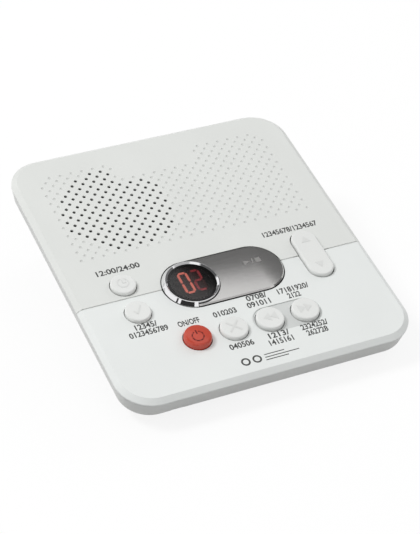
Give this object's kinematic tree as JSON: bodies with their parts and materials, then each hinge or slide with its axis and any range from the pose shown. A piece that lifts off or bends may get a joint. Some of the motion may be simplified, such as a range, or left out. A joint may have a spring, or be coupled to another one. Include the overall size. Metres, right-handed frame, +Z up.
{
  "type": "telephone answering machine",
  "caption": "Sloping table-top answering machine with a speaker grille, round digit display, long play bar, volume rocker, round keys, and telephone and power sockets at the back.",
  "frame": {"origin": "on the table under the middle of the machine's overall box", "axes": "+X to the user's right, +Y away from the user towards the sockets, +Z up"},
  "size_m": [0.1562, 0.1662, 0.0545],
  "materials": {
    "shell": "fine spark-eroded satin",
    "key_white": "satin gloss",
    "key_red": "clear gloss",
    "silver": "silver lacquer",
    "chrome_ring": "chromed plastic",
    "smoked_window": "smoked clear",
    "segments": "diffusing",
    "dark_plastic": "matt",
    "plated": "nickel plate",
    "brass": "gold flash",
    "rubber": "matt",
    "steel": "zinc plate",
    "chassis": "matt",
    "silicone": "matt silicone",
    "board": "solder mask",
    "lamp": "clear",
    "cable": "matt",
    "chip": "matt epoxy",
    "core": "laminated",
    "winding": "lacquered copper",
    "can": "sleeved",
    "film": "dipped",
    "heat_sink": "satin",
    "gasket": "card",
    "paper": "pulp",
    "ferrite": "ground ferrite"
  },
  "bodies": {
    "machine": {"battery_leads": "cable", "battery_snap": "dark_plastic", "bottom_case": "shell", "case_screws": "steel", "crystal": "steel", "dc_jack": "dark_plastic", "dc_jack_pin": "plated", "digit_segments": "segments", "display_module": "dark_plastic", "display_ring": "chrome_ring", "display_window": "smoked_window", "electrolytic_capacitors": "can", "film_capacitor": "film", "front_cover": "shell", "heat_sink": "heat_sink", "jack_contacts": "brass", "key_board": "board", "key_board_screws": "steel", "key_frame": "chassis", "keypad_mat": "silicone", "line_jack": "dark_plastic", "line_relay": "dark_plastic", "line_transformer": "core", "main_board": "board", "main_board_screws": "steel", "memory_chip": "chip", "microphone": "heat_sink", "microphone_boot": "rubber", "microphone_leads": "cable", "phone_jack": "dark_plastic", "power_leds": "lamp", "processor_chip": "chip", "rear_cover": "shell", "ribbon_cable": "cable", "rubber_feet": "rubber", "speaker_cone": "paper", "speaker_dust_cap": "paper", "speaker_frame": "steel", "speaker_front_plate": "steel", "speaker_gasket": "gasket", "speaker_leads": "cable", "speaker_magnet": "ferrite", "speaker_screws": "steel", "speaker_terminals": "board", "speaker_yoke": "steel", "surge_arrester": "can", "transformer_winding": "winding", "voice_coil": "winding", "voltage_regulator": "chip"},
    "clock_key": {"clock_key": "key_white"},
    "setup_key": {"setup_key": "key_white"},
    "power_key": {"power_key": "key_red"},
    "delete_key": {"delete_key": "key_white"},
    "repeat_key": {"repeat_key": "key_white"},
    "skip_key": {"skip_key": "key_white"},
    "play_key": {"play_key": "silver"},
    "volume_key": {"volume_key": "key_white"},
    "battery_door": {"battery_door": "shell"}
  },
  "joints": [
    {"name": "clock_press", "type": "slide", "parent": "machine", "child": "clock_key", "axis": [0, -0.225, 0.9744], "range_m": [-0.001, 0], "stiffness_N_per_m": 700, "deforming": ["keypad_mat"]},
    {"name": "setup_press", "type": "slide", "parent": "machine", "child": "setup_key", "axis": [0, -0.225, 0.9744], "range_m": [-0.001, 0], "stiffness_N_per_m": 700, "deforming": ["keypad_mat"]},
    {"name": "power_press", "type": "slide", "parent": "machine", "child": "power_key", "axis": [0, -0.225, 0.9744], "range_m": [-0.001, 0], "stiffness_N_per_m": 700, "deforming": ["keypad_mat"]},
    {"name": "delete_press", "type": "slide", "parent": "machine", "child": "delete_key", "axis": [0, -0.225, 0.9744], "range_m": [-0.001, 0], "stiffness_N_per_m": 700, "deforming": ["keypad_mat"]},
    {"name": "repeat_press", "type": "slide", "parent": "machine", "child": "repeat_key", "axis": [0, -0.225, 0.9744], "range_m": [-0.001, 0], "stiffness_N_per_m": 700, "deforming": ["keypad_mat"]},
    {"name": "skip_press", "type": "slide", "parent": "machine", "child": "skip_key", "axis": [0, -0.225, 0.9744], "range_m": [-0.001, 0], "stiffness_N_per_m": 700, "deforming": ["keypad_mat"]},
    {"name": "play_press", "type": "slide", "parent": "machine", "child": "play_key", "axis": [0, -0.225, 0.9744], "range_m": [-0.0008, 0], "stiffness_N_per_m": 1200, "deforming": ["keypad_mat"]},
    {"name": "volume_tip", "type": "hinge", "parent": "machine", "child": "volume_key", "pos_m": [0.0491, -0.02047, 0.02665], "axis": [1, 0, 0], "range_deg": [-3, 3], "stiffness_Nm_per_rad": 0.12, "deforming": ["keypad_mat"]},
    {"name": "battery_door_slide", "type": "slide", "parent": "machine", "child": "battery_door", "axis": [1, 0, 0], "range_m": [0, 0.055]}
  ]
}
